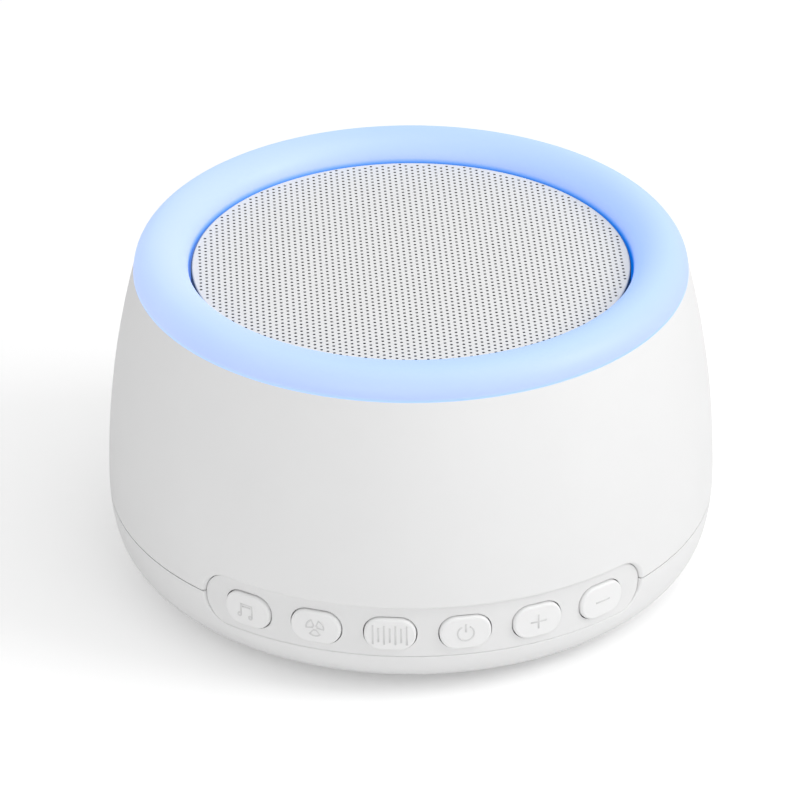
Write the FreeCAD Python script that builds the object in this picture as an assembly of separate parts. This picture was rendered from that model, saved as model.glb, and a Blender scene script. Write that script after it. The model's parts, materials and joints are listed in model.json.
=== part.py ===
import FreeCAD, Part
import math
import os

# A bedside sound machine: a round white housing on rubber feet, a half-round light ring round
# a perforated speaker grille on top, and a curved panel of six push buttons at the front.
# Millimetres. The origin is on the floor under the upright axis, +Z is up, the front is -Y.

# Outer form of the housing
belly_r = 58.0            # widest radius
belly_z = 17.2            # height of the widest point
seam_r = 52.3             # radius where the housing meets the light ring
seam_z = 61.0             # height of that seam
lower_arc_r = 33.0        # side below the belly
corner_arc_r = 10.0       # turn from the side to the underside
stand_z = 1.8             # underside above the floor
wall = 2.0                # housing wall
split_z = 15.65           # joint line of the two housings
split_gap = 0.26          # visible width of the joint line
fit = 0.15                # clearance of parts that drop into each other
touch = 0.05              # clearance of parts that bear on each other
past = 2.0                # cuts run this far past the faces that they open
sunk = 0.5                # posts and ribs start this far inside what carries them

# Register lip of the lower housing
lip_t = 1.0
lip_rise = 1.6
lip_root = 2.2

# Deck that carries the speaker and the ring lamps
deck_drop = 5.0           # deck face below the seam
deck_t = 2.0
deck_bore_r = 33.0

# Light ring
ring_tube_r = 5.18        # half-round section
ring_skin = 2.2           # thickness at the crest
ring_leg_t = 1.5          # inner leg, down to the deck
ring_lip_t = 0.9          # locating lip inside the housing
ring_lip_depth = 2.4
ring_crest_flat = 3.1     # flat of the cavity under the crest
lamp_board_t = 1.0
lamp_count = 16
lamp_length = 3.5
lamp_width = 2.8
lamp_t = 0.8

# Speaker grille
grille_gap = 0.45         # shadow gap to the light ring
grille_rise = 0.6         # face above the seam
grille_t = 0.7
grille_edge_r = 0.9
grille_rim = 1.4          # plain band outside the perforation
grille_skirt_t = 0.8
mesh_pitch = 5.0          # stands in for the real 1.3 mm pitch
mesh_hole_r = 1.3

# Speaker, a bought part of 74 mm
flange_r = 37.0
flange_t = 1.0
gasket_t = 0.6
mouth_r = 31.5
basket_depth = 14.0
basket_foot_r = 17.5
basket_t = 1.1
basket_floor_t = 1.0
basket_windows = 6
basket_window_w = 9.0
basket_bore_r = 11.3
window_from_mouth = 2.5
window_from_foot = 3.5
speaker_screw_circle_r = 34.7
top_plate_r = 17.0
top_plate_t = 2.5
gap_bore_r = 9.3
magnet_r = 18.5
magnet_bore_r = 11.0
magnet_t = 5.5
yoke_r = 17.0
yoke_t = 2.5
pole_r = 7.7
coil_r = 8.3
coil_t = 0.3
winding_t = 0.3
winding_length = 4.6
coil_below_plate = 1.2
coil_above_floor = 5.0
cone_edge_r = 25.4
cone_t = 0.6
dust_cap_r = 10.2
dust_cap_rise = 2.6
dust_cap_t = 0.5
surround_t = 0.4
surround_land = 1.2
surround_rise = 2.0
surround_slope = 1.2
spider_t = 0.35
spider_waves = 2
spider_wave_h = 0.55
spider_below_neck = 1.6

# Button panel and buttons
panel_z = 15.3            # middle height
panel_half_h = 5.25
panel_end_deg = 39.5      # centre of each rounded end, from the front
panel_set_back = 0.8      # panel face inside the belly radius
panel_t = 1.6
panel_edge_t = 0.9        # border wall behind the face
panel_flange_t = 1.0
panel_flange_w = 1.0
panel_flange_set = 2.7    # flange face behind the panel face
edge_round = 0.7          # soft edge of the opening in the upper housing
edge_ease = 0.3           # lighter one in the lower housing
button_names = ("music", "fan", "noise", "power", "volume_up", "volume_down")
button_pitch_deg = 13.9
button_drop = 0.2         # buttons below the panel's middle
button_w = 9.6
button_h = 6.7
button_corner_r = 3.2
button_proud = 0.75
button_edge_r = 0.5
button_gap = 0.22
button_travel = 0.5
keeper_w = 11.4
keeper_t = 0.9
keeper_gap = 0.5          # keeper behind the panel's inner face, at its middle
stem_r = 1.8
stem_length = 1.3
plunger_r = 1.2
plunger_length = 1.5
plunger_proud = 0.6
plunger_gap = 0.1
switch_w = 4.5
switch_t = 2.3
flex_t = 0.3
flex_half_h = 4.2
carrier_t = 2.0
carrier_half_h = 5.0
carrier_end_deg = 45.0
carrier_pad_w = 5.0
carrier_pad_h = 3.5

# Screw towers, screws and feet
tower_circle_r = 42.5
tower_r = 3.6
tower_rib_t = 1.6
tower_rib_rise = 6.0      # foot of the rib above the lip
screw_r = 1.25
screw_head_r = 2.4
screw_head_t = 1.7
screw_recess = 4.0        # depth of the recess in the underside
screw_length = 15.0
foot_circle_r = 38.5
foot_r = 5.5
foot_seat = 0.8
foot_edge_r = 0.7

# Main board and power inlet
board_lift = 4.8          # board above the floor of the lower housing
board_t = 1.6
board_half_x = 24.0
board_front_y = -26.0
board_back_y = 34.0
tongue_half_x = 8.0
tongue_end = 4.5          # tongue short of the wall
board_screw_x = 20.0
board_screw_front_y = -22.0
board_screw_back_y = 30.0
board_boss_r = 2.8
board_screw_r = 1.0
board_screw_head_r = 2.0
board_screw_head_t = 1.3
board_screw_length = 5.5
inlet_w = 8.94
inlet_h = 3.26
inlet_corner_r = 1.3
inlet_depth = 7.4
inlet_t = 0.3
inlet_recess = 1.0        # mouth behind the outer face
inlet_gap = 0.35
inlet_tab_w = 6.7
inlet_tab_t = 0.7
inlet_tab_set = 0.9       # tab behind the mouth
inlet_block_t = 1.8

# Plug-in sockets on the board: x, y, width, depth
socket_h = 4.2
speaker_socket = (0, 12, 6, 4)
lamp_socket = (14, -2, 8, 4)
button_socket = (0, -22, 12, 4)

# Flat leads inside the housing, and the speaker's terminal tab
lead_t = 1.2
speaker_lead_w = 2.6
lamp_lead_w = 5.0
lamp_lead_r = 46.0        # where the lamp lead drops through the deck
tail_w = 8.0              # tail of the flexible circuit
tail_gap = 0.8            # tail clear of the carrier
tail_rise = 3.0           # tail above its socket
tab_reach = 4.0           # tab outside the basket
tab_drop = 6.5            # tab below the flange
tab_w = 7.0
tab_t = 1.2

AXIS = FreeCAD.Vector(0, 0, 1)
ORIGIN = FreeCAD.Vector(0, 0, 0)

# Places worked out from the sizes above
upper_arc_r = ((seam_z - belly_z) ** 2 + (belly_r - seam_r) ** 2) / (2 * (belly_r - seam_r))
lower_centre_r = belly_r - lower_arc_r
corner_centre_z = stand_z + corner_arc_r
corner_tilt = math.asin((belly_z - corner_centre_z) / (lower_arc_r - corner_arc_r))
corner_centre_r = lower_centre_r + (lower_arc_r - corner_arc_r) * math.cos(corner_tilt)
deck_z = seam_z - deck_drop
ring_mid_r = seam_r - ring_tube_r
ring_inner_r = ring_mid_r - ring_tube_r
grille_r = ring_inner_r - grille_gap
grille_z = seam_z + grille_rise
flange_z = deck_z + gasket_t
flange_top_z = flange_z + flange_t
basket_floor_z = flange_z - basket_depth
panel_r = belly_r - panel_set_back
panel_back_r = panel_r - panel_t
keeper_face_r = panel_back_r - keeper_gap
plunger_tip_r = keeper_face_r - keeper_t - stem_length - plunger_gap
switch_face_r = plunger_tip_r - plunger_proud
switch_back_r = switch_face_r - switch_t
carrier_face_r = switch_back_r - flex_t
floor_z = stand_z + wall
board_z = floor_z + board_lift
board_top_z = board_z + board_t
inlet_z = board_top_z + inlet_h / 2
socket_top_z = board_top_z + socket_h
button_z = panel_z - button_drop
keeper_h = 2 * (panel_half_h - panel_edge_t - button_drop - 2 * fit)


def at(r, z):
    """A point of a section: radius from the axis and height."""
    return FreeCAD.Vector(r, 0, z)


def outline(start, *steps):
    """A closed face from a start point and steps: a point for a line, a pair for an arc."""
    edges = []
    here = start
    for step in steps:
        if isinstance(step, tuple):
            edges.append(Part.Arc(here, step[0], step[1]).toShape())
            here = step[1]
        else:
            edges.append(Part.LineSegment(here, step).toShape())
            here = step
    if here.distanceToPoint(start) > 1e-7:
        edges.append(Part.LineSegment(here, start).toShape())
    return Part.Face(Part.Wire(edges))


def spun(face, degrees=360):
    return face.revolve(ORIGIN, AXIS, degrees)


def turned(shape, degrees):
    """A copy turned about the upright axis. The front is at zero, to the right is positive."""
    copy = shape.copy()
    copy.rotate(ORIGIN, AXIS, degrees)
    return copy


def tube(r_in, r_out, z_low, z_high):
    return spun(outline(at(r_in, z_low), at(r_out, z_low), at(r_out, z_high), at(r_in, z_high)))


def post(x, y, radius, z_low, z_high):
    return Part.makeCylinder(radius, z_high - z_low, FreeCAD.Vector(x, y, z_low), AXIS)


def on_circle(radius, degrees):
    """A place on a circle round the axis, counted from the front."""
    turn = math.radians(degrees)
    return radius * math.sin(turn), -radius * math.cos(turn)


def block(x_low, x_high, y_low, y_high, z_low, z_high):
    corner = FreeCAD.Vector(x_low, y_low, z_low)
    return Part.makeBox(x_high - x_low, y_high - y_low, z_high - z_low, corner)


def pill(width, height, corner_r, z_mid, r_in, r_out):
    """A rounded bar that points to the front, from one distance off the axis to another."""
    x = width / 2 - corner_r
    z = height / 2 - corner_r
    lean = corner_r * math.sqrt(0.5)

    def p(u, v):
        return FreeCAD.Vector(u, -r_in, z_mid + v)

    face = outline(
        p(-x, -z - corner_r), p(x, -z - corner_r),
        (p(x + lean, -z - lean), p(x + corner_r, -z)), p(x + corner_r, z),
        (p(x + lean, z + lean), p(x, z + corner_r)), p(-x, z + corner_r),
        (p(-x - lean, z + lean), p(-x - corner_r, z)), p(-x - corner_r, -z),
        (p(-x - lean, -z - lean), p(-x, -z - corner_r)),
    )
    return face.extrude(FreeCAD.Vector(0, r_in - r_out, 0))


def skin_r(z, inset):
    """Radius of the housing's skin at a height, moved inwards by a thickness."""
    if z >= belly_z:
        return belly_r - upper_arc_r + math.sqrt((upper_arc_r - inset) ** 2 - (z - belly_z) ** 2)
    if z >= belly_z - (lower_arc_r - inset) * math.sin(corner_tilt):
        return lower_centre_r + math.sqrt((lower_arc_r - inset) ** 2 - (z - belly_z) ** 2)
    return corner_centre_r + math.sqrt((corner_arc_r - inset) ** 2 - (z - corner_centre_z) ** 2)


def upper_side(z_from, z_to, inset):
    """An arc step along the side above the belly."""
    z_mid = (z_from + z_to) / 2
    return at(skin_r(z_mid, inset), z_mid), at(skin_r(z_to, inset), z_to)


def corner_start(inset):
    """Where the lower side turns into the corner arc."""
    reach = lower_arc_r - inset
    return at(lower_centre_r + reach * math.cos(corner_tilt),
              belly_z - reach * math.sin(corner_tilt))


def corner_middle(inset):
    angle = (corner_tilt + math.pi / 2) / 2
    reach = corner_arc_r - inset
    return at(corner_centre_r + reach * math.cos(angle), corner_centre_z - reach * math.sin(angle))


def wrapped_slot(r_in, r_out, half_h):
    """The panel's outline wrapped round the axis: a band with two round ends."""
    band = outline(at(r_in, panel_z - half_h), at(r_out, panel_z - half_h),
                   at(r_out, panel_z + half_h), at(r_in, panel_z + half_h))
    solid = turned(spun(band, 2 * panel_end_deg), -90 - panel_end_deg)
    keep = tube(r_in, r_out, panel_z - half_h - past, panel_z + half_h + past)
    start = FreeCAD.Vector(0, 0, panel_z - half_h)
    for side in (-1, 1):
        half_disc = outline(
            start, (FreeCAD.Vector(side * half_h, 0, panel_z),
                    FreeCAD.Vector(0, 0, panel_z + half_h)))
        reach = half_disc.extrude(FreeCAD.Vector(0, -r_out - half_h, 0))
        solid = solid.fuse(turned(reach, side * panel_end_deg).common(keep))
    return solid.removeSplitter()


def opening_rim(body):
    """The outer edges of the panel's opening in a housing."""
    rim = []
    for edge in body.Edges:
        start, end = edge.ParameterRange
        points = [edge.valueAt(start + (end - start) * n / 4) for n in range(5)]
        heights = [p.z for p in points]
        on_skin = all(abs(math.hypot(p.x, p.y) - skin_r(p.z, 0)) < fit / 5 for p in points)
        in_front = all(p.y < -belly_r / 2 for p in points)
        in_band = max(abs(z - panel_z) for z in heights) < panel_half_h + fit
        on_split = max(abs(z - split_z) for z in heights) < split_gap
        if on_skin and in_front and in_band and not on_split:
            rim.append(edge)
    return rim


def tower_angles():
    return [45 + 90 * turn for turn in range(4)]


def upper_housing():
    z_low = split_z + split_gap / 2
    draft_z = (deck_z - deck_t + belly_z) / 2
    bottom = at(skin_r(z_low, 0), z_low)
    section = outline(
        bottom, upper_side(z_low, belly_z, 0), upper_side(belly_z, seam_z, 0),
        at(skin_r(seam_z, wall), seam_z), at(skin_r(deck_z, wall), deck_z),
        at(deck_bore_r, deck_z), at(deck_bore_r, deck_z - deck_t),
        at(skin_r(deck_z - deck_t, wall), deck_z - deck_t),
        at(skin_r(draft_z, wall), draft_z), at(skin_r(belly_z, wall), belly_z),
        at(skin_r(z_low, wall), z_low),
    )
    body = spun(section)
    for angle in tower_angles():
        x, y = on_circle(tower_circle_r, angle)
        body = body.fuse(post(x, y, tower_r, z_low, deck_z - deck_t / 2))
        rib_top = deck_z - deck_t / 2
        rib_foot = z_low + lip_rise + tower_rib_rise
        rib = outline(at(tower_circle_r, rib_foot), at(skin_r(rib_foot, wall / 2), rib_foot),
                      upper_side(rib_foot, rib_top, wall / 2), at(tower_circle_r, rib_top))
        rib = rib.extrude(FreeCAD.Vector(0, tower_rib_t, 0))
        rib.translate(FreeCAD.Vector(0, -tower_rib_t / 2, 0))
        body = body.fuse(turned(rib, angle - 90))
    for angle in tower_angles():
        x, y = on_circle(tower_circle_r, angle)
        tip = floor_z + screw_recess + screw_length
        body = body.cut(post(x, y, screw_r + touch, z_low - 1, tip + 1))
        sx, sy = on_circle(speaker_screw_circle_r, angle)
        body = body.cut(post(sx, sy, board_screw_r + touch, deck_z - deck_t - past, deck_z + past))
    half_w = lamp_lead_w / 2 + fit
    half_t = lead_t / 2 + fit
    body = body.cut(block(lamp_lead_r - half_t, lamp_lead_r + half_t, lamp_socket[1] - half_w,
                          lamp_socket[1] + half_w, deck_z - deck_t - past, deck_z + past))
    body = body.cut(wrapped_slot(belly_r / 2, belly_r + past, panel_half_h))
    return body.makeFillet(edge_round, opening_rim(body))


def lower_housing():
    z_top = split_z - split_gap / 2
    section = outline(
        at(0, stand_z), at(corner_centre_r, stand_z), (corner_middle(0), corner_start(0)),
        upper_side(corner_start(0).z, z_top, 0), at(skin_r(z_top, wall), z_top),
        corner_start(wall), corner_middle(wall), at(corner_centre_r, floor_z), at(0, floor_z),
    )
    body = spun(section)
    lip_r = skin_r(z_top, wall) - fit
    root_z = z_top - lip_root
    lip = spun(outline(
        at(skin_r(root_z, wall) + fit, root_z), at(lip_r, z_top), at(lip_r, z_top + lip_rise),
        at(lip_r - lip_t, z_top + lip_rise), at(lip_r - lip_t, root_z)))
    keep_out = panel_half_h + panel_flange_w + fit
    body = body.fuse(lip.cut(wrapped_slot(lip_r - lip_t - 1, belly_r, keep_out)))
    for angle in tower_angles():
        x, y = on_circle(tower_circle_r, angle)
        body = body.fuse(post(x, y, tower_r, stand_z + sunk, z_top))
    for x in (-board_screw_x, board_screw_x):
        for y in (board_screw_front_y, board_screw_back_y):
            body = body.fuse(post(x, y, board_boss_r, floor_z - sunk, board_z))
    for angle in tower_angles():
        x, y = on_circle(tower_circle_r, angle)
        body = body.cut(post(x, y, screw_r + fit, stand_z - past, z_top + past))
        body = body.cut(post(x, y, screw_head_r + fit * 3, stand_z - past, stand_z + screw_recess))
    for x in (-board_screw_x, board_screw_x):
        for y in (board_screw_front_y, board_screw_back_y):
            body = body.cut(post(x, y, board_screw_r + touch, floor_z, board_z + past))
    for turn in range(4):
        x, y = on_circle(foot_circle_r, 90 * turn)
        body = body.cut(post(x, y, foot_r + fit, stand_z - past, stand_z + foot_seat))
    body = body.cut(wrapped_slot(belly_r / 2, belly_r + past, panel_half_h))
    flange_out = panel_r - panel_flange_set
    body = body.cut(wrapped_slot(flange_out - panel_flange_t * 2, flange_out + fit, keep_out))
    hole = pill(inlet_w + 2 * inlet_gap, inlet_h + 2 * inlet_gap, inlet_corner_r + inlet_gap,
                inlet_z, belly_r - 8, belly_r + past)
    body = body.cut(turned(hole, 180))
    return body.makeFillet(edge_ease, opening_rim(body))


def light_ring():
    leg_r = ring_inner_r + ring_leg_t
    lip_r = skin_r(seam_z, wall) - touch * 2
    low_z = seam_z + touch
    cavity_z = low_z + ring_tube_r - ring_skin
    half_flat = ring_crest_flat / 2
    foot_z = deck_z + touch
    lip_z = seam_z - ring_lip_depth
    return spun(outline(
        at(seam_r, low_z),
        (at(ring_mid_r + ring_tube_r * math.sqrt(0.5), low_z + ring_tube_r * math.sqrt(0.5)),
         at(ring_mid_r, low_z + ring_tube_r)),
        (at(ring_mid_r - ring_tube_r * math.sqrt(0.5), low_z + ring_tube_r * math.sqrt(0.5)),
         at(ring_inner_r, low_z)),
        at(ring_inner_r, foot_z), at(leg_r, foot_z), at(leg_r, low_z),
        at(ring_mid_r - half_flat, cavity_z), at(ring_mid_r + half_flat, cavity_z),
        at(lip_r - ring_lip_t, low_z), at(lip_r - ring_lip_t, lip_z), at(lip_r, lip_z), at(lip_r, low_z),
    ))


def lamp_board_radii():
    """The board clears the ring's leg, and the wall that leans in over its upper face."""
    inner = ring_inner_r + ring_leg_t + fit * 2
    outer = min(skin_r(deck_z, wall) - fit * 4, skin_r(deck_z + lamp_board_t, wall) - fit)
    return inner, outer


def lamp_board():
    inner, outer = lamp_board_radii()
    return tube(inner, outer, deck_z, deck_z + lamp_board_t)


def ring_lamps():
    inner, outer = lamp_board_radii()
    middle = (inner + outer) / 2
    z = deck_z + lamp_board_t
    lamp = block(-lamp_length / 2, lamp_length / 2, -middle - lamp_width / 2,
                 -middle + lamp_width / 2, z, z + lamp_t)
    return Part.makeCompound([turned(lamp, 360 * n / lamp_count) for n in range(lamp_count)])


def hexagon(x, y, radius, z):
    corners = [FreeCAD.Vector(x + radius * math.cos(math.radians(60 * n)),
                              y + radius * math.sin(math.radians(60 * n)), z) for n in range(7)]
    return Part.makePolygon(corners)


def speaker_grille():
    """A perforated disc with a rounded edge and a skirt that stands on the deck."""
    plate_r = grille_r - grille_rim
    low_z = grille_z - grille_t
    wires = [Part.Wire(Part.makeCircle(plate_r, FreeCAD.Vector(0, 0, low_z), AXIS))]
    column = mesh_pitch * math.sqrt(0.75)
    reach = int(plate_r / column) + 1
    for i in range(-reach, reach + 1):
        for j in range(-reach - 1, reach + 2):
            x = i * column
            y = (j + 0.5 * (i % 2)) * mesh_pitch
            if math.hypot(x, y) + mesh_hole_r < plate_r:
                wires.append(hexagon(x, y, mesh_hole_r, low_z))
    plate = Part.makeFace(wires, "Part::FaceMakerBullseye")
    plate = plate.extrude(FreeCAD.Vector(0, 0, grille_t))
    lean = grille_edge_r * math.sqrt(0.5)
    shoulder_r = grille_r - grille_edge_r
    shoulder_z = grille_z - grille_edge_r
    rim = spun(outline(
        at(plate_r, low_z), at(plate_r, grille_z), at(shoulder_r, grille_z),
        (at(shoulder_r + lean, shoulder_z + lean), at(grille_r, shoulder_z)),
        at(grille_r, deck_z + touch), at(grille_r - grille_skirt_t, deck_z + touch),
        at(grille_r - grille_skirt_t, low_z)))
    return plate.fuse(rim).removeSplitter()


def speaker_gasket():
    ring = tube(deck_bore_r + fit, flange_r, deck_z, flange_z)
    for angle in tower_angles():
        x, y = on_circle(speaker_screw_circle_r, angle)
        ring = ring.cut(post(x, y, board_screw_r + fit, deck_z - past, flange_z + past))
    return ring


def basket_mouth_r():
    """Outer radius where the basket's cone meets its flange."""
    lean = basket_depth / (mouth_r - basket_foot_r)
    return basket_foot_r + basket_t + (basket_depth - basket_floor_t) / lean


def speaker_tab_r():
    lean = basket_depth / (mouth_r - basket_foot_r)
    return basket_mouth_r() - tab_drop / lean


def speaker_tab_z():
    return flange_z - tab_drop


def speaker_basket():
    """Pressed frame: a flange, a conical wall with windows, and a floor ring."""
    floor_top = basket_floor_z + basket_floor_t
    outer_foot_r = basket_foot_r + basket_t
    section = outline(
        at(basket_bore_r, basket_floor_z), at(outer_foot_r, basket_floor_z),
        at(outer_foot_r, floor_top), at(basket_mouth_r(), flange_z),
        at(flange_r, flange_z), at(flange_r, flange_top_z), at(mouth_r, flange_top_z),
        at(basket_foot_r, floor_top), at(basket_bore_r, floor_top))
    body = spun(section)
    window = block(-basket_window_w / 2, basket_window_w / 2, -mouth_r + window_from_mouth,
                   -basket_foot_r - window_from_foot, basket_floor_z - past, flange_z - sunk)
    for n in range(basket_windows):
        body = body.cut(turned(window, 360 * (n + 0.5) / basket_windows))
    tab = block(-tab_w / 2, tab_w / 2, -speaker_tab_r() - tab_reach, -speaker_tab_r() + basket_t / 2,
                speaker_tab_z(), speaker_tab_z() + tab_t)
    body = body.fuse(turned(tab, 180))
    for angle in tower_angles():
        x, y = on_circle(speaker_screw_circle_r, angle)
        body = body.cut(post(x, y, board_screw_r + fit, flange_z - past, flange_top_z + past))
    return body


def top_plate():
    return tube(gap_bore_r, top_plate_r, basket_floor_z - top_plate_t, basket_floor_z)


def magnet():
    z_high = basket_floor_z - top_plate_t
    return tube(magnet_bore_r, magnet_r, z_high - magnet_t, z_high)


def yoke():
    """Back plate with the centre pole, in one turned piece."""
    z_plate = basket_floor_z - top_plate_t - magnet_t
    return spun(outline(
        at(0, z_plate - yoke_t), at(yoke_r, z_plate - yoke_t), at(yoke_r, z_plate),
        at(pole_r, z_plate), at(pole_r, basket_floor_z), at(0, basket_floor_z)))


def cone_line():
    """Neck and edge of the cone's rear face."""
    neck = at(coil_r + coil_t, basket_floor_z + coil_above_floor)
    edge = at(cone_edge_r, flange_top_z - cone_t)
    return neck, edge


def speaker_cone():
    neck, edge = cone_line()
    neck = neck + FreeCAD.Vector(touch, 0, 0)
    lift = FreeCAD.Vector(0, 0, cone_t)
    return spun(outline(neck, edge, edge + lift, neck + lift))


def voice_coil():
    neck = cone_line()[0]
    low = basket_floor_z - top_plate_t - coil_below_plate
    return spun(outline(
        at(coil_r, low), at(coil_r + coil_t + winding_t, low),
        at(coil_r + coil_t + winding_t, low + winding_length),
        at(coil_r + coil_t, low + winding_length), at(coil_r + coil_t, neck.z + cone_t),
        at(coil_r, neck.z + cone_t)))


def dust_cap():
    """A shallow dome that closes the middle of the cone."""
    neck, edge = cone_line()
    rise = (edge.z - neck.z) / (edge.x - neck.x)
    rim_z = neck.z + cone_t + (dust_cap_r - neck.x) * rise + fit
    rim = at(dust_cap_r, rim_z)
    shoulder = at(dust_cap_r * 0.6, rim_z + dust_cap_rise * 0.75)
    crown = at(0, rim_z + dust_cap_rise)
    lift = FreeCAD.Vector(0, 0, dust_cap_t)
    return spun(outline(rim, rim + lift, shoulder + lift, crown + lift, crown, shoulder))


def speaker_surround():
    """Half roll between the cone's edge and the flange."""
    low = flange_top_z + touch
    roll_in = cone_edge_r + fit
    roll_out = mouth_r - fit
    lift = FreeCAD.Vector(0, 0, surround_t)
    line = [at(roll_in - surround_land, low), at(roll_in, low),
            at(roll_in + surround_slope, low + surround_rise - surround_t),
            at(roll_out - surround_slope, low + surround_rise - surround_t),
            at(roll_out, low), at(roll_out + surround_land, low)]
    return spun(outline(*line, *[point + lift for point in reversed(line)]))


def spider():
    """Corrugated disc that centres the coil."""
    z = basket_floor_z + coil_above_floor - spider_below_neck
    start_r = coil_r + coil_t + touch
    lean = basket_depth / (mouth_r - basket_foot_r)
    end_r = basket_foot_r + (z - basket_floor_z - basket_floor_t) / lean - fit
    step = (end_r - start_r) / (2 * spider_waves)
    lift = FreeCAD.Vector(0, 0, spider_t)
    line = [at(start_r + n * step, z + spider_wave_h * (n % 2))
            for n in range(2 * spider_waves + 1)]
    return spun(outline(*line, *[point + lift for point in reversed(line)]))


def screw(x, y, head_z, length, shank_r, head_r, head_t, up):
    """A pan-head screw; its shank runs up or down from under the head."""
    if up:
        shape = post(x, y, head_r, head_z, head_z + head_t)
        shape = shape.fuse(post(x, y, shank_r, head_z + head_t / 2, head_z + head_t + length))
        return shape
    shape = post(x, y, head_r, head_z, head_z + head_t)
    return shape.fuse(post(x, y, shank_r, head_z - length, head_z + head_t / 2))


def speaker_screws():
    screws = []
    for angle in tower_angles():
        x, y = on_circle(speaker_screw_circle_r, angle)
        screws.append(screw(x, y, flange_top_z, board_screw_length, board_screw_r,
                            board_screw_head_r, board_screw_head_t, False))
    return Part.makeCompound(screws)


def housing_screws():
    screws = []
    for angle in tower_angles():
        x, y = on_circle(tower_circle_r, angle)
        head_z = stand_z + screw_recess - screw_head_t
        screws.append(screw(x, y, head_z, screw_length, screw_r, screw_head_r,
                            screw_head_t, True))
    return Part.makeCompound(screws)


def board_screws():
    screws = []
    for x in (-board_screw_x, board_screw_x):
        for y in (board_screw_front_y, board_screw_back_y):
            screws.append(screw(x, y, board_top_z, board_screw_length, board_screw_r,
                                board_screw_head_r, board_screw_head_t, False))
    return Part.makeCompound(screws)


def rubber_foot(turn):
    """A disc with a softened lower edge, seated in the underside."""
    lean = foot_edge_r * (1 - math.sqrt(0.5))
    top = stand_z + foot_seat
    shape = spun(outline(
        at(0, 0), at(foot_r - foot_edge_r, 0), (at(foot_r - lean, lean), at(foot_r, foot_edge_r)),
        at(foot_r, top), at(0, top)))
    x, y = on_circle(foot_circle_r, 90 * turn)
    shape.translate(FreeCAD.Vector(x, y, 0))
    return shape


def button_angles():
    middle = (len(button_names) - 1) / 2
    return [(n - middle) * button_pitch_deg for n in range(len(button_names))]


def button_panel():
    """Curved face with a border wall and a flange that the two housings trap."""
    half = panel_half_h - fit
    flange_r_out = panel_r - panel_flange_set
    body = wrapped_slot(flange_r_out - panel_flange_t, panel_r, half)
    body = body.fuse(wrapped_slot(flange_r_out - panel_flange_t, flange_r_out,
                                  half + panel_flange_w))
    body = body.cut(wrapped_slot(belly_r / 2, panel_back_r, half - panel_edge_t))
    for angle in button_angles():
        hole = pill(button_w + 2 * button_gap, button_h + 2 * button_gap,
                    button_corner_r + button_gap, button_z, panel_back_r - past, belly_r + past)
        body = body.cut(turned(hole, angle))
    return body


def button(angle):
    """A cap with a soft edge, the keeper that holds it in the panel, and its stem."""
    face_r = panel_r + button_proud
    cap = pill(button_w, button_h, button_corner_r, button_z, keeper_face_r, belly_r + past)
    cap = cap.common(Part.makeCylinder(face_r, belly_z * 3))
    rim = [edge for edge in cap.Edges
           if all(math.hypot(v.X, v.Y) > face_r - 0.01 for v in edge.Vertexes)]
    cap = cap.makeFillet(button_edge_r, rim)
    keeper_back_r = keeper_face_r - keeper_t
    keeper = pill(keeper_w, keeper_h, button_corner_r, button_z, keeper_back_r, keeper_face_r)
    stem = Part.makeCylinder(stem_r, stem_length + keeper_t / 2,
                             FreeCAD.Vector(0, -keeper_back_r + stem_length, button_z),
                             FreeCAD.Vector(0, -1, 0))
    return turned(cap.fuse(keeper).fuse(stem), angle)


def plunger(angle):
    shape = Part.makeCylinder(plunger_r, plunger_length,
                              FreeCAD.Vector(0, -plunger_tip_r + plunger_length, button_z),
                              FreeCAD.Vector(0, -1, 0))
    return turned(shape, angle)


def switch_bodies():
    body = block(-switch_w / 2, switch_w / 2, -switch_face_r, -switch_back_r,
                 button_z - switch_w / 2, button_z + switch_w / 2)
    depth = plunger_length - plunger_proud + button_travel + touch
    hole = Part.makeCylinder(plunger_r + touch, depth + 1,
                             FreeCAD.Vector(0, -switch_face_r + depth, button_z),
                             FreeCAD.Vector(0, -1, 0))
    body = body.cut(hole)
    return Part.makeCompound([turned(body, angle) for angle in button_angles()])


def curved_strip(r_in, r_out, half_h, end_deg):
    band = outline(at(r_in, panel_z - half_h), at(r_out, panel_z - half_h),
                   at(r_out, panel_z + half_h), at(r_in, panel_z + half_h))
    return turned(spun(band, 2 * end_deg), -90 - end_deg)


def button_flex():
    """Flexible circuit behind the switches."""
    sag = switch_back_r
    return curved_strip(sag - flex_t, sag - touch, flex_half_h, panel_end_deg)


def button_carrier():
    """Curved bracket that backs the flexible circuit and bears on the two front towers."""
    outer = carrier_face_r - touch
    body = curved_strip(outer - carrier_t, outer, carrier_half_h, carrier_end_deg)
    for side in (-1, 1):
        pad = block(-carrier_pad_w / 2, carrier_pad_w / 2, -outer + carrier_t / 2,
                    -tower_circle_r - tower_r - touch, panel_z + carrier_half_h - carrier_pad_h,
                    panel_z + carrier_half_h)
        body = body.fuse(turned(pad, side * carrier_end_deg))
    return body


def tongue_back_y():
    return skin_r(inlet_z, wall) - tongue_end


def main_board():
    board = block(-board_half_x, board_half_x, board_front_y, board_back_y, board_z, board_top_z)
    board = board.fuse(block(-tongue_half_x, tongue_half_x, board_back_y - sunk, tongue_back_y(),
                             board_z, board_top_z)).removeSplitter()
    for x in (-board_screw_x, board_screw_x):
        for y in (board_screw_front_y, board_screw_back_y):
            board = board.cut(post(x, y, board_screw_r + fit, board_z - past, board_top_z + past))
    return board


def board_chips():
    """Control chip, amplifier and memory as flat packages."""
    chips = ((-6, -8, 9, 9, 1.4), (9, 4, 5, 6, 1.5), (-12, 12, 5, 4, 1.3), (12, -14, 6, 3, 1.0))
    z = board_top_z
    return Part.makeCompound([block(x - w / 2, x + w / 2, y - d / 2, y + d / 2, z, z + h)
                              for x, y, w, d, h in chips])


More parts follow.
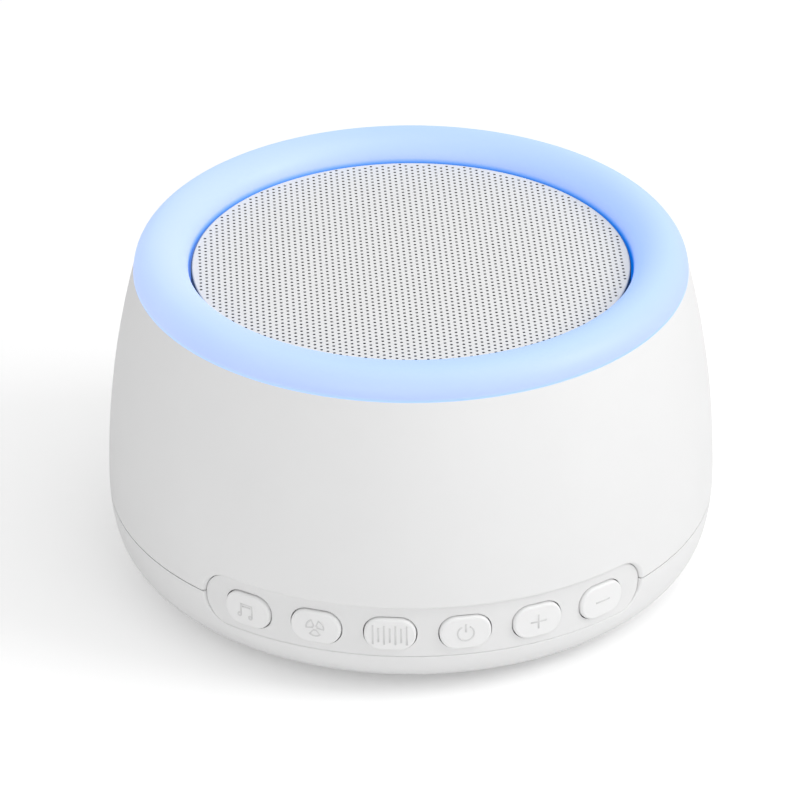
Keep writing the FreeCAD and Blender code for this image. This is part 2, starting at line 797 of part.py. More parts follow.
def board_capacitors():
    places = ((-14, 24, 3.1, 7.5), (-6, 26, 3.1, 7.5), (16, 16, 2.5, 5.5))
    return Part.makeCompound([post(x, y, r, board_top_z, board_top_z + h)
                              for x, y, r, h in places])


def board_sockets():
    """Plug-in sockets for the speaker, lamp and button leads."""
    places = (speaker_socket, lamp_socket, button_socket)
    return Part.makeCompound([block(x - w / 2, x + w / 2, y - d / 2, y + d / 2,
                                    board_top_z, socket_top_z) for x, y, w, d in places])


def flat_lead(route, width, thickness):
    """A flat lead along distances and heights: straight runs joined by tangent arcs."""
    points = [at(distance, z) for distance, z in route]
    edges = []
    for line in (points, points[::-1]):
        runs = [(end - start).normalize() for start, end in zip(line, line[1:])]
        sides = [FreeCAD.Vector(-run.z, 0, run.x) * (thickness / 2) for run in runs]
        edges.append(line[0] + sides[0])
        for n in range(1, len(runs)):
            before, corner, after = line[n - 1:n + 2]
            reach = 0.45 * min(corner.distanceToPoint(before), corner.distanceToPoint(after))
            radius = reach / math.tan(runs[n - 1].getAngle(runs[n]) / 2)
            inwards = (runs[n] - runs[n - 1]).normalize()
            middle = corner + inwards * (math.hypot(radius, reach) - radius)
            outwards = (sides[n - 1] + sides[n]).normalize() * (thickness / 2)
            edges.append(corner - runs[n - 1] * reach + sides[n - 1])
            edges.append((middle + outwards, corner + runs[n] * reach + sides[n]))
        edges.append(line[-1] + sides[-1])
    lead = outline(edges[0], *edges[1:]).extrude(FreeCAD.Vector(0, width, 0))
    lead.translate(FreeCAD.Vector(0, -width / 2, 0))
    return lead


def speaker_lead():
    """From the tab on the speaker's basket, behind the magnet, to its socket on the board."""
    start = speaker_tab_r() + tab_reach / 2
    end = speaker_socket[1]
    top = speaker_tab_z() - touch
    low = socket_top_z + touch
    drop = top - low
    span = start - end
    lead = flat_lead([(start, top), (start, top - 0.26 * drop),
                      (start - 0.1 * span, top - 0.5 * drop), (end + 0.5 * span, low + 0.3 * drop),
                      (end, low + 0.19 * drop), (end, low)], speaker_lead_w, lead_t)
    return turned(lead, 90)


def lamp_lead():
    """From the underside of the lamp board, down inside the wall, to its socket."""
    end = lamp_socket[0]
    top = deck_z - touch
    low = socket_top_z + touch
    drop = top - low
    span = lamp_lead_r - end
    lead = flat_lead([(lamp_lead_r, top), (lamp_lead_r, top - 0.28 * drop),
                      (lamp_lead_r - 0.08 * span, top - 0.55 * drop),
                      (lamp_lead_r - 0.35 * span, low + 0.25 * drop),
                      (end + 0.32 * span, low + 0.16 * drop), (end, low + 0.13 * drop),
                      (end, low)], lamp_lead_w, lead_t)
    lead.translate(FreeCAD.Vector(0, lamp_socket[1], 0))
    return lead


def button_tail():
    """Flat tail of the flexible circuit, over the carrier and down to its socket."""
    outer = switch_back_r - touch - flex_t / 2
    inner = carrier_face_r - touch - carrier_t - tail_gap
    top = panel_z + carrier_half_h + tail_gap
    end = -button_socket[1]
    low = socket_top_z + tail_rise
    tail = flat_lead([(outer, panel_z + flex_half_h + touch), (outer, top), (inner, top),
                      (inner - tail_rise, low), (end, low), (end, socket_top_z + touch)],
                     tail_w, flex_t)
    return turned(tail, -90)


def inlet_shell():
    """Oval metal shell of the power inlet, closed at the back."""
    mouth_y = skin_r(inlet_z, 0) - inlet_recess
    outer = pill(inlet_w, inlet_h, inlet_corner_r, inlet_z, mouth_y - inlet_depth, mouth_y)
    inner = pill(inlet_w - 2 * inlet_t, inlet_h - 2 * inlet_t, inlet_corner_r - inlet_t,
                 inlet_z, mouth_y - inlet_depth + inlet_t, mouth_y + past)
    return turned(outer.cut(inner), 180)


def inlet_tab():
    """Contact tab inside the shell, on its plastic block."""
    mouth_y = skin_r(inlet_z, 0) - inlet_recess
    back_y = mouth_y - inlet_depth + inlet_t
    width = inlet_w - 2 * inlet_t - 2 * touch
    root = pill(width, inlet_h - 2 * inlet_t - 2 * touch, inlet_corner_r - inlet_t - touch,
                inlet_z, back_y, back_y + inlet_block_t)
    tab = block(-inlet_tab_w / 2, inlet_tab_w / 2, -mouth_y + inlet_tab_set, -back_y - sunk,
                inlet_z - inlet_tab_t / 2, inlet_z + inlet_tab_t / 2)
    return turned(root.fuse(tab), 180)


def all_parts():
    parts = {
        "upper_housing": upper_housing(),
        "lower_housing": lower_housing(),
        "light_ring": light_ring(),
        "lamp_board": lamp_board(),
        "ring_lamps": ring_lamps(),
        "speaker_grille": speaker_grille(),
        "speaker_gasket": speaker_gasket(),
        "speaker_basket": speaker_basket(),
        "top_plate": top_plate(),
        "magnet": magnet(),
        "yoke": yoke(),
        "speaker_cone": speaker_cone(),
        "voice_coil": voice_coil(),
        "dust_cap": dust_cap(),
        "speaker_surround": speaker_surround(),
        "spider": spider(),
        "speaker_screws": speaker_screws(),
        "housing_screws": housing_screws(),
        "board_screws": board_screws(),
        "button_panel": button_panel(),
        "switch_bodies": switch_bodies(),
        "button_flex": button_flex(),
        "button_carrier": button_carrier(),
        "main_board": main_board(),
        "board_chips": board_chips(),
        "board_capacitors": board_capacitors(),
        "board_sockets": board_sockets(),
        "inlet_shell": inlet_shell(),
        "inlet_tab": inlet_tab(),
        "speaker_lead": speaker_lead(),
        "lamp_lead": lamp_lead(),
        "button_tail": button_tail(),
    }
    for name, angle in zip(button_names, button_angles()):
        parts["button_" + name] = button(angle)
        parts["plunger_" + name] = plunger(angle)
    for turn in range(4):
        parts["rubber_foot_%d" % (turn + 1)] = rubber_foot(turn)
    return parts


os.makedirs("parts", exist_ok=True)
for name, shape in all_parts().items():
    shape.exportStep("parts/%s.step" % name)
    print("%-20s solids %2d  valid %s  volume %10.2f" % (
        name, len(shape.Solids), shape.isValid(), shape.Volume))
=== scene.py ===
import json
import math
import bmesh
import bpy
from mathutils import Matrix, Vector


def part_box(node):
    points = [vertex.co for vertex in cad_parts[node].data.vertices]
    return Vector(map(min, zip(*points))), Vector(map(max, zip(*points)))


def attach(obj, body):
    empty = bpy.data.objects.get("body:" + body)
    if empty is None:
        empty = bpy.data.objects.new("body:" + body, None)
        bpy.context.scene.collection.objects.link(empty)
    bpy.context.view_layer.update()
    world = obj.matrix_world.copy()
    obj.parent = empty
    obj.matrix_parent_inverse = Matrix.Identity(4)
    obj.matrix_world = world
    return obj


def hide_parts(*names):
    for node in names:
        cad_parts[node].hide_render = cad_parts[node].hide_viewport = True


# Looks of a bedside sound machine: matte white housing, glowing blue ring, fine perforated grille
# and six buttons with line symbols. Metres; places are read from the frame.

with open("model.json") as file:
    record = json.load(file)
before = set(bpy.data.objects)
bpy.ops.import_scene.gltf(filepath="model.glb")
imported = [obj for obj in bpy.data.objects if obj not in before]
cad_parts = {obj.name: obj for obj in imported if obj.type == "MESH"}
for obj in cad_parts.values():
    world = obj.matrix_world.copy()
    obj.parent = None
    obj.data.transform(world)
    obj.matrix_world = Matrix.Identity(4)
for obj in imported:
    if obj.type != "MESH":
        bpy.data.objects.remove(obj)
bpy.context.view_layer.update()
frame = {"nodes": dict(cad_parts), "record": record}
nodes = frame["nodes"]
node_slots = {entry["node"]: entry["material_slot"] for entry in frame["record"]["subparts"]}
MM = 0.001
button_names = ("music", "fan", "noise", "power", "volume_up", "volume_down")
turn_steps = 192

# Places read from the frame, and the ring's own section
ring_low, ring_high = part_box("light_ring")
grille_low, grille_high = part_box("speaker_grille")
belly_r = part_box("upper_housing")[1].x
ring_outer_r = ring_high.x
ring_tube_r = 5.18 * MM
ring_mid_r = ring_outer_r - ring_tube_r
ring_seam_z = ring_high.z - ring_tube_r
ring_leg_t = 1.5 * MM
grille_r = grille_high.x
grille_z = grille_high.z

# Arcs of the housing's side in its section
belly_z = 17.2 * MM
lower_arc_r = 33.0 * MM
corner_arc_r = 10.0 * MM
corner_centre_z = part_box("lower_housing")[0].z + corner_arc_r


class Socket:
    """A shader value that can be used in sums; each sum adds its own Math node."""

    def __init__(self, shader, link):
        self.shader = shader
        self.link = link

    def math(self, operation, *values):
        return self.shader.node("ShaderNodeMath", {"operation": operation}, values)[0]

    def __add__(self, other):
        return self.math("ADD", self, other)

    def __radd__(self, other):
        return self.math("ADD", other, self)

    def __sub__(self, other):
        return self.math("SUBTRACT", self, other)

    def __rsub__(self, other):
        return self.math("SUBTRACT", other, self)

    def __mul__(self, other):
        return self.math("MULTIPLY", self, other)

    def __rmul__(self, other):
        return self.math("MULTIPLY", other, self)

    def __truediv__(self, other):
        return self.math("DIVIDE", self, other)

    def clipped(self):
        return self.math("MINIMUM", self.math("MAXIMUM", self, 0.0), 1.0)


class Shader:
    """One material and short ways to add nodes to it."""

    def __init__(self, name):
        self.material = bpy.data.materials.new(name)
        self.material.use_nodes = True
        self.tree = self.material.node_tree
        self.surface = self.tree.nodes["Principled BSDF"]

    def node(self, kind, settings=None, inputs=()):
        """Adds a node; settings come first, then its sockets by place or by name."""
        made = self.tree.nodes.new(kind)
        for key, value in (settings or {}).items():
            setattr(made, key, value)
        pairs = inputs.items() if isinstance(inputs, dict) else enumerate(inputs)
        for key, value in pairs:
            self.feed(made.inputs[key], value)
        return [Socket(self, out) for out in made.outputs]

    def feed(self, socket, value):
        if isinstance(value, Socket):
            self.tree.links.new(value.link, socket)
        elif isinstance(value, tuple) and len(value) < len(socket.default_value):
            socket.default_value = (*value, 1.0)
        else:
            socket.default_value = value

    def set(self, **values):
        """Sets or links the surface's own sockets."""
        for key, value in values.items():
            self.feed(self.surface.inputs[key.replace("_", " ")], value)

    def place(self):
        """The point in the object's own frame."""
        return self.node("ShaderNodeTexCoord")[3]

    def split(self, vector):
        return self.node("ShaderNodeSeparateXYZ", None, [vector])

    def noise(self, vector, scale, detail=2.0, rough=0.5):
        made = self.node("ShaderNodeTexNoise", None,
                         {"Vector": vector, "Scale": scale, "Detail": detail, "Roughness": rough})
        return made[0]

    def ramp(self, factor, stops):
        """A colour ramp from (place, colour) stops."""
        made = self.tree.nodes.new("ShaderNodeValToRGB")
        points = made.color_ramp.elements
        while len(points) < len(stops):
            points.new(0.5)
        for point, (place, colour) in zip(points, stops):
            point.position = place
            point.color = (*colour, 1.0)
        self.feed(made.inputs[0], factor)
        return Socket(self, made.outputs[0])

    def mix(self, factor, first, second):
        made = self.tree.nodes.new("ShaderNodeMix")
        made.data_type = "RGBA"
        self.feed(made.inputs[0], factor)
        self.feed(made.inputs[6], first)
        self.feed(made.inputs[7], second)
        return Socket(self, made.outputs[2])

    def bump(self, height, distance, strength=1.0):
        made = self.node("ShaderNodeBump", None,
                         {"Height": height, "Distance": distance, "Strength": strength})
        self.set(Normal=made[0])


def srgb(red, green, blue):
    """A linear colour from the 0 to 255 values that it should show as."""
    def linear(value):
        value /= 255
        return value / 12.92 if value <= 0.04045 else ((value + 0.055) / 1.055) ** 2.4
    return linear(red), linear(green), linear(blue)


def grey(value):
    return srgb(value, value, value)


# Materials

def moulded_white(name, shade, grain=0.012):
    """Matte moulded plastic: fine spark-eroded grain and faint flow marks."""
    m = Shader(name)
    place = m.place()
    grain_noise = m.noise(place, 4200, 3)
    flow = m.noise(place, 55, 2)
    low = tuple(c * 0.975 for c in grey(shade))
    high = tuple(min(c * 1.012, 1.0) for c in grey(shade))
    m.set(Base_Color=m.mix(flow, low, high), Roughness=0.47 + 0.1 * grain_noise,
          Specular_IOR_Level=0.42)
    m.bump(grain_noise, grain * MM, 0.6)
    return m.material


def plain(name, colour, roughness, metallic=0.0, scale=900, depth=0.01, spread=0.12):
    """A base for the small inner pieces: mottled colour, uneven gloss, fine relief."""
    m = Shader(name)
    cloud = m.noise(m.place(), scale, 4)
    low = tuple(c * (1 - spread) for c in colour)
    high = tuple(min(c * (1 + spread), 1.0) for c in colour)
    m.set(Base_Color=m.mix(cloud, low, high), Roughness=roughness * (0.85 + 0.3 * cloud),
          Metallic=metallic)
    m.bump(cloud, depth * MM, 0.5)
    return m.material


def brushed(name, colour, roughness):
    """Plated steel with drawn marks."""
    m = Shader(name)
    stretched = m.node("ShaderNodeMapping", None, {"Vector": m.place(), "Scale": (60, 60, 2400)})
    marks = m.noise(stretched[0], 12, 4)
    m.set(Base_Color=m.mix(marks, tuple(c * 0.85 for c in colour), colour), Metallic=1.0,
          Roughness=roughness * (0.8 + 0.4 * marks))
    m.bump(marks, 0.008 * MM, 0.4)
    return m.material


def circuit_board():
    """Green solder mask over faint copper tracks."""
    m = Shader("solder_mask")
    x, y = m.split(m.place())[:2]
    half_track = 0.18 * MM
    along = x.math("PINGPONG", x, 1.2 * MM)
    across = y.math("PINGPONG", y, 1.7 * MM)
    tracks = (along.math("LESS_THAN", along, half_track)
              + across.math("LESS_THAN", across, half_track)).clipped()
    m.set(Base_Color=m.mix(tracks, (0.012, 0.12, 0.04), (0.03, 0.22, 0.08)), Roughness=0.35,
          Coat_Weight=0.3)
    m.bump(tracks, 0.03 * MM, 0.5)
    return m.material


def glowing_diffuser():
    """Milky plastic lit blue from inside: paler to the left, a bright seam and a deep blue leg
    whose base colour is painted shade.

    The glow follows the half-round section: 0 is the outer seam and 1 the inner leg.
    """
    m = Shader("lit_diffuser")
    place = m.place()
    x, y, z = m.split(place)
    square = x * x + y * y
    side = (square.math("SQRT", square) - ring_mid_r) / ring_tube_r
    rise = (z - ring_seam_z) / ring_tube_r
    rise = rise.math("MAXIMUM", rise, 0.0)
    turn = rise.math("ARCTAN2", rise, side) / math.pi
    blue = m.ramp(turn.clipped(), (
        (0.000, (0.10, 0.40, 0.90)), (0.014, (0.03, 0.22, 0.70)), (0.045, (0.0, 0.13, 0.52)),
        (0.400, (0.03, 0.22, 0.46)), (0.800, (0.01, 0.18, 0.54)), (0.940, (0.0, 0.14, 0.60)),
        (1.000, (0.0, 0.12, 0.60))))
    uneven = (m.noise(place, 22, 1) - 0.5) * 1.2
    leftward = (uneven - x / ring_outer_r).clipped()
    pale = m.mix(0.30, blue, (0.36, 0.46, 0.85))
    leg_start = 0.93
    inner_leg = ((turn - leg_start) / (1 - leg_start)).clipped()
    # The inner leg's deep blue base colour is painted shade: it stands in for the leg sitting in
    # shade, where mostly its glow shows.
    plastic = m.mix(inner_leg, (0.53, 0.54, 0.60), (0.10, 0.38, 0.80))
    m.set(Base_Color=plastic, Roughness=0.42, Emission_Strength=1.0,
          Emission_Color=m.mix(leftward, blue, pale), Specular_IOR_Level=0.35)
    m.bump(m.noise(place, 2600, 3), 0.006 * MM, 0.4)
    return m.material


def pierced_white():
    """White-painted sheet; a little way down each hole the wall goes dark grey, which is painted
    shade.
    """
    m = Shader("grille_white")
    place = m.place()
    painted_shade_depth = 0.16 * MM
    # Painted shade: below the face the hole walls turn dark grey, standing in for the shade inside
    # each hole.
    depth = (grille_z - m.split(place)[2]) / painted_shade_depth
    cloud = m.noise(place, 300, 2)
    paint = m.mix(cloud, grey(238), grey(243))
    m.set(Base_Color=m.mix(depth.clipped(), paint, grey(38)), Roughness=0.45)
    m.bump(m.noise(place, 4200, 3), 0.004 * MM, 0.5)
    return m.material


def lamp_lens():
    m = Shader("lamp_lens")
    cloud = m.noise(m.place(), 900)
    m.set(Base_Color=m.mix(cloud, (0.75, 0.8, 0.95), (0.9, 0.93, 1.0)), Roughness=0.25,
          Emission_Color=srgb(120, 180, 255), Emission_Strength=1.5)
    return m.material


def cone_pulp():
    """Pressed fibre."""
    m = Shader("cone_pulp")
    place = m.place()
    fibre = m.noise(place, 1500, 6, 0.7)
    m.set(Base_Color=m.mix(fibre, (0.02, 0.02, 0.022), (0.06, 0.06, 0.065)), Roughness=0.85)
    m.bump(fibre, 0.08 * MM, 0.8)
    return m.material


def cloth(name, first, second, step):
    """A plain weave on the place in the frame."""
    m = Shader(name)
    x, y = m.split(m.place())[:2]
    warp, weft = ((s * (2 * math.pi / step)) for s in (x, y))
    weave = (warp.math("SINE", warp) * weft.math("SINE", weft) * 0.5 + 0.5).clipped()
    m.set(Base_Color=m.mix(weave, first, second), Roughness=0.8)
    m.bump(weave, 0.08 * MM, 0.7)
    return m.material


def make_materials():
    metal = (0.62, 0.62, 0.64)
    return {
        "housing": moulded_white("housing_white", 236),
        "panel": moulded_white("panel_white", 233, 0.008),
        "button": moulded_white("button_white", 240, 0.005),
        # The symbol lines are moulded in the button's white; their darker grey is painted shade
        # standing in for the raised lines' own shading.
        "symbol": moulded_white("symbol_shade_grey", 219, 0.003),
        "diffuser": glowing_diffuser(),
        "grille": pierced_white(),
        "circuit_board": circuit_board(),
        "lamp": lamp_lens(),
        "foam": plain("foam_black", (0.02, 0.02, 0.02), 0.95, 0, 1800, 0.15, 0.4),
        "pressed_steel": plain("coated_steel", (0.03, 0.03, 0.032), 0.45, 0.3),
        "plated_steel": brushed("zinc_steel", metal, 0.35),
        "ferrite": plain("ferrite_grey", (0.045, 0.045, 0.05), 0.6, 0, 700, 0.03, 0.25),
        "cone_paper": cone_pulp(),
        "copper": brushed("wound_copper", (0.75, 0.33, 0.14), 0.4),
        "surround_rubber": plain("roll_rubber", (0.015, 0.015, 0.016), 0.6, 0, 700, 0.02, 0.3),
        "spider_cloth": cloth("spider_weave", (0.32, 0.2, 0.06), (0.55, 0.38, 0.14), 0.0007),
        "screw_steel": brushed("screw_steel", metal, 0.3),
        "black_plastic": plain("black_plastic", (0.02, 0.02, 0.022), 0.5, 0, 1500, 0.01, 0.25),
        "flex_circuit": plain("film_amber", (0.5, 0.2, 0.02), 0.3, 0, 500, 0.01, 0.2),
        "inner_plastic": plain("inner_plastic", (0.6, 0.6, 0.57), 0.5, 0, 900, 0.01, 0.06),
        "capacitor_sleeve": plain("sleeve_blue", (0.02, 0.035, 0.1), 0.3, 0, 400, 0.01, 0.2),
        "inlet_metal": brushed("inlet_nickel", (0.66, 0.65, 0.63), 0.28),
        "foot_rubber": plain("foot_rubber", (0.05, 0.05, 0.052), 0.8, 0, 1400, 0.03, 0.3),
        "lead_sleeve": plain("lead_sleeve", (0.4, 0.02, 0.015), 0.5, 0, 900, 0.01, 0.15),
    }


def dress_nodes(materials):
    """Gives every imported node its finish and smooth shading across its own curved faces."""
    for name, node in nodes.items():
        node.data.materials.clear()
        node.data.materials.append(materials[node_slots[name]])
        for face in node.data.polygons:
            face.use_smooth = True


# Mesh pieces

def finish_piece(mesh_name, bm, material, body, smooth=True):
    """Turns a bmesh into a riding piece at the origin."""
    mesh = bpy.data.meshes.new(mesh_name)
    bm.to_mesh(mesh)
    bm.free()
    piece = bpy.data.objects.new(mesh_name, mesh)
    bpy.context.scene.collection.objects.link(piece)
    mesh.materials.append(material)
    for face in mesh.polygons:
        face.use_smooth = smooth
    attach(piece, body)
    return piece


def spin_outline(bm, points, steps, closed=True):
    """Revolves an outline of (radius, height) points about the upright axis."""
    verts = [bm.verts.new((r, 0, z)) for r, z in points]
    ends = verts[1:] + verts[:1] if closed else verts[1:]
    edges = [bm.edges.new(pair) for pair in zip(verts, ends)]
    bmesh.ops.spin(bm, geom=verts + edges, cent=(0, 0, 0), axis=(0, 0, 1),
                   angle=2 * math.pi, steps=steps, use_merge=True)
    bmesh.ops.remove_doubles(bm, verts=bm.verts, dist=1e-7)
    bmesh.ops.recalc_face_normals(bm, faces=bm.faces)


def verts_of(geometry):
    return [item for item in geometry if isinstance(item, bmesh.types.BMVert)]


def copy_moved(bm, geometry, step):
    """Duplicates some geometry and moves the copy."""
    made = bmesh.ops.duplicate(bm, geom=geometry)["geom"]
    bmesh.ops.translate(bm, verts=verts_of(made), vec=step)


def everything(bm):
    return bm.verts[:] + bm.edges[:] + bm.faces[:]


def mark_sharp(bm):
    """Keeps an edge crisp where its two faces meet at a clear angle."""
    limit = math.radians(28)
    for edge in bm.edges:
        edge.smooth = edge.calc_face_angle(math.pi) < limit


def turned_surfaces():
    """Section arcs of the turned faces: centre radius, centre height, arc radius."""
    rise = ring_seam_z - belly_z
    inset = belly_r - ring_outer_r
    upper_arc_r = (rise ** 2 + inset ** 2) / (2 * inset)
    tilt = math.asin((belly_z - corner_centre_z) / (lower_arc_r - corner_arc_r))
    corner_r = belly_r - lower_arc_r + (lower_arc_r - corner_arc_r) * math.cos(tilt)
    return ((belly_r - upper_arc_r, belly_z, upper_arc_r),
            (belly_r - lower_arc_r, belly_z, lower_arc_r),
            (corner_r, corner_centre_z, corner_arc_r))


def true_normal(place, face_normal, arcs, barrels):
    """The exact normal of a turned face or of a barrel about the axis, if the corner is on one."""
    radius = math.hypot(place.x, place.y)
    near = 0.01 * MM
    lean = math.cos(math.radians(12))
    slants = [((radius - r) / reach, (place.z - z) / reach) for r, z, reach in arcs
              if abs(math.hypot(radius - r, place.z - z) - reach) < near]
    slants += [(1.0, 0.0) for barrel in barrels if abs(radius - barrel) < near]
    for outward, upward in slants:
        normal = Vector((outward * place.x / radius, outward * place.y / radius, upward))
        if normal.dot(face_normal) > lean:
            return normal.normalized()
    return None


def smooth_copy(node_name, piece_name, body, materials, arcs=()):
    """A merged copy of a node that shades as the smooth faces it was made of."""
    node = nodes[node_name]
    slot = node_slots[node_name]
    bm = bmesh.new()
    bm.from_mesh(node.data)
    bmesh.ops.remove_doubles(bm, verts=bm.verts, dist=0.001 * MM)
    mark_sharp(bm)
    barrels = {round(max(math.hypot(v.co.x, v.co.y) for v in bm.verts), 6)}
    piece = finish_piece(piece_name, bm, materials[slot], body)
    mesh = piece.data
    corners = [Vector(corner.vector) for corner in mesh.corner_normals]
    for face in mesh.polygons:
        for loop in face.loop_indices:
            place = mesh.vertices[mesh.loops[loop].vertex_index].co
            exact = true_normal(place, face.normal, arcs, barrels)
            corners[loop] = exact or corners[loop]
    mesh.normals_split_custom_set(corners)
    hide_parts(node_name)


def arc_points(centre_x, centre_y, radius, start, end, count=24):
    """Points of an arc; angles in degrees from the first axis towards the second."""
    turns = [math.radians(start + (end - start) * n / count) for n in range(count + 1)]
    return [(centre_x + radius * math.cos(a), centre_y + radius * math.sin(a)) for a in turns]


def light_ring(material):
    """The half-round diffuser with its inner leg, smooth all round."""
    skin = 2.2 * MM
    points = arc_points(ring_mid_r, ring_seam_z, ring_tube_r, 0, 180, 28)
    inner_r = ring_mid_r - ring_tube_r
    points += [(inner_r, ring_low.z), (inner_r + ring_leg_t, ring_low.z)]
    points += arc_points(ring_mid_r, ring_seam_z, ring_tube_r - skin, 180, 0, 14)
    bm = bmesh.new()
    spin_outline(bm, points, turn_steps)
    piece = finish_piece("diffuser_ring", bm, material, "housing")
    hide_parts("light_ring")


# Perforated sheet
mesh_pitch = 1.31 * MM
mesh_hole_r = 0.31 * MM
plate_t = 0.7 * MM
doublings = 6


def pierced_cell(bm):
    """One six-sided cell of the sheet with its hole and the hole's wall."""
    cell_r = mesh_pitch / math.sqrt(3)
    made = bmesh.ops.create_circle(bm, cap_ends=True, segments=6, radius=cell_r)
    turn = Matrix.Rotation(math.pi / 6, 3, "Z")
    bmesh.ops.rotate(bm, verts=made["verts"], cent=(0, 0, 0), matrix=turn)
    middle = bm.faces[:]
    hole_side = mesh_hole_r * math.sqrt(0.75)
    bmesh.ops.inset_individual(bm, faces=middle, thickness=cell_r * math.sqrt(0.75) - hole_side,
                               use_even_offset=True)
    rim = middle[0].edges[:]
    bmesh.ops.delete(bm, geom=middle, context="FACES_ONLY")
    wall = bmesh.ops.extrude_edge_only(bm, edges=rim)["geom"]
    bmesh.ops.translate(bm, verts=verts_of(wall), vec=(0, 0, -plate_t))


def doubled(bm, step):
    """Repeats everything along a step by doubling it several times."""
    for n in range(doublings):
        copy_moved(bm, everything(bm), step * 2 ** n)


def cell_waste(bm, whole_reach, hole_reach):
    """Vertices of cells past the edge; cells that cross it keep only their hole."""
    waste = []
    seen = set()
    for start in bm.verts:
        if start in seen:
            continue
        island = [start]
        seen.add(start)
        for vert in island:
            for edge in vert.link_edges:
                other = edge.other_vert(vert)
                if other not in seen:
                    seen.add(other)
                    island.append(other)
        middle = sum((v.co for v in island), Vector()) / len(island)
        reach = math.hypot(middle.x, middle.y)
        if reach > hole_reach:
            waste += island
        elif reach > whole_reach:
            waste += [v for v in island if (v.co - middle).to_2d().length > 1.2 * mesh_hole_r]
    return waste


def speaker_grille(material):
    """Sheet with staggered six-sided holes that read as round, a rounded edge and a skirt."""
    column = mesh_pitch * math.sqrt(0.75)
    edge_r = 0.5 * MM
    rim_r = grille_r - edge_r
    skirt_t = 0.8 * MM
    rows = 2 ** doublings
    bm = bmesh.new()
    pierced_cell(bm)
    doubled(bm, Vector((0, mesh_pitch, 0)))
    copy_moved(bm, everything(bm), (column, mesh_pitch / 2, 0))
    doubled(bm, Vector((2 * column, 0, 0)))
    bmesh.ops.translate(bm, verts=bm.verts, vec=(-rows * column, -rows / 2 * mesh_pitch, 0))
    whole_reach = rim_r - mesh_pitch / math.sqrt(3) - 0.03 * MM
    hole_reach = rim_r - mesh_hole_r - 0.05 * MM
    bmesh.ops.delete(bm, geom=cell_waste(bm, whole_reach, hole_reach), context="VERTS")
    bmesh.ops.remove_doubles(bm, verts=bm.verts, dist=0.01 * MM)
    border = [e for e in bm.edges if e.is_boundary and e.verts[0].co.z > -plate_t / 2]
    ring = bmesh.ops.create_circle(bm, segments=turn_steps, radius=rim_r)["verts"]
    circle = {e for v in ring for e in v.link_edges}
    bmesh.ops.triangle_fill(bm, edges=border + list(circle), use_beauty=True, normal=(0, 0, 1))
    bmesh.ops.translate(bm, verts=bm.verts, vec=(0, 0, grille_z))
    bmesh.ops.recalc_face_normals(bm, faces=bm.faces)
    sheet = finish_piece("pierced_sheet", bm, material, "housing", smooth=False)
    profile = arc_points(rim_r, grille_z - edge_r, edge_r, 90, 0, 8)
    profile += [(grille_r, grille_low.z), (grille_r - skirt_t, grille_low.z),
                (grille_r - skirt_t, grille_z - plate_t), (rim_r, grille_z - plate_t)]
    bm = bmesh.new()
    spin_outline(bm, profile, turn_steps)
    rim = finish_piece("grille_rim", bm, material, "housing")
    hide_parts("speaker_grille")
    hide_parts("speaker_grille")


# Housing screws
screw_head_r = 2.4 * MM


def cross_outline(half_long, half_wide):
    """Corners of an upright cross."""
    corner = ((half_wide, half_long), (half_wide, half_wide), (half_long, half_wide))
    quarters = ((1, 1), (1, -1), (-1, -1), (-1, 1))
    points = []
    for n, (flip_x, flip_y) in enumerate(quarters):
        order = corner if n % 2 == 0 else corner[::-1]
        points += [(flip_x * x, flip_y * y) for x, y in order]
    return points


def screw_side(low_z, neck_z, high_z):
    """Side of a screw that stands on its head: rounded crown, neck, ring threads and tip."""
    dome_h = 0.7 * MM
    shank_r = 1.25 * MM
    root_r = 0.8 * shank_r
    tip_h = 0.7 * MM
    pitch = 1.1 * MM
    threads = 12
    chain = arc_points(0.62 * screw_head_r, low_z + dome_h, dome_h, -90, -35, 4)
    chain += [(screw_head_r, low_z + dome_h), (screw_head_r, neck_z), (shank_r, neck_z)]
    for n in range(threads):
        start = neck_z + pitch * (n + 0.4)
        chain += [(root_r, start), (shank_r, start + pitch / 2)]
    return chain + [(root_r, high_z - tip_h), (root_r / 2, high_z)]


def close_crown(bm, low_z):
    """Fills the flat of the crown round a tapered cross recess."""
    recess_depth = 1.1 * MM
    crown = [e for e in bm.edges if e.is_boundary]
    corners = [bm.verts.new((x * MM, y * MM, low_z)) for x, y in cross_outline(1.15, 0.28)]
    cross = [bm.edges.new((corners[n - 1], corners[n])) for n in range(len(corners))]
    bmesh.ops.triangle_fill(bm, edges=crown + cross, use_beauty=True)
    wall = bmesh.ops.extrude_edge_only(bm, edges=cross)["geom"]
    bmesh.ops.translate(bm, verts=verts_of(wall), vec=(0, 0, recess_depth))
    bmesh.ops.scale(bm, verts=verts_of(wall), vec=(0.8, 0.8, 1.0))
    bottom = [e for e in wall if isinstance(e, bmesh.types.BMEdge)]
    bmesh.ops.triangle_fill(bm, edges=bottom, use_beauty=True)


def case_screws(material):
    """The four screws seen from below: domed heads with a cross recess, and ring threads."""
    low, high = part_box("housing_screws")
    neck_z = low.z + 1.7 * MM
    spot = high.x - screw_head_r
    bm = bmesh.new()
    spin_outline(bm, screw_side(low.z, neck_z, high.z), 24, closed=False)
    tip = [e for e in bm.edges if e.is_boundary and e.verts[0].co.z > neck_z]
    bmesh.ops.triangle_fill(bm, edges=tip, use_beauty=True)
    close_crown(bm, low.z)
    bmesh.ops.recalc_face_normals(bm, faces=bm.faces)
    mark_sharp(bm)
    single = everything(bm)
    for x, y in ((-2, 0), (0, -2), (-2, -2)):
        copy_moved(bm, single, (x * spot, y * spot, 0))
    bmesh.ops.translate(bm, verts=bm.verts, vec=(spot, spot, 0))
    piece = finish_piece("case_screws", bm, material, "housing")
    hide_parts("housing_screws")


# Symbols on the buttons, in millimetres about the middle of each cap

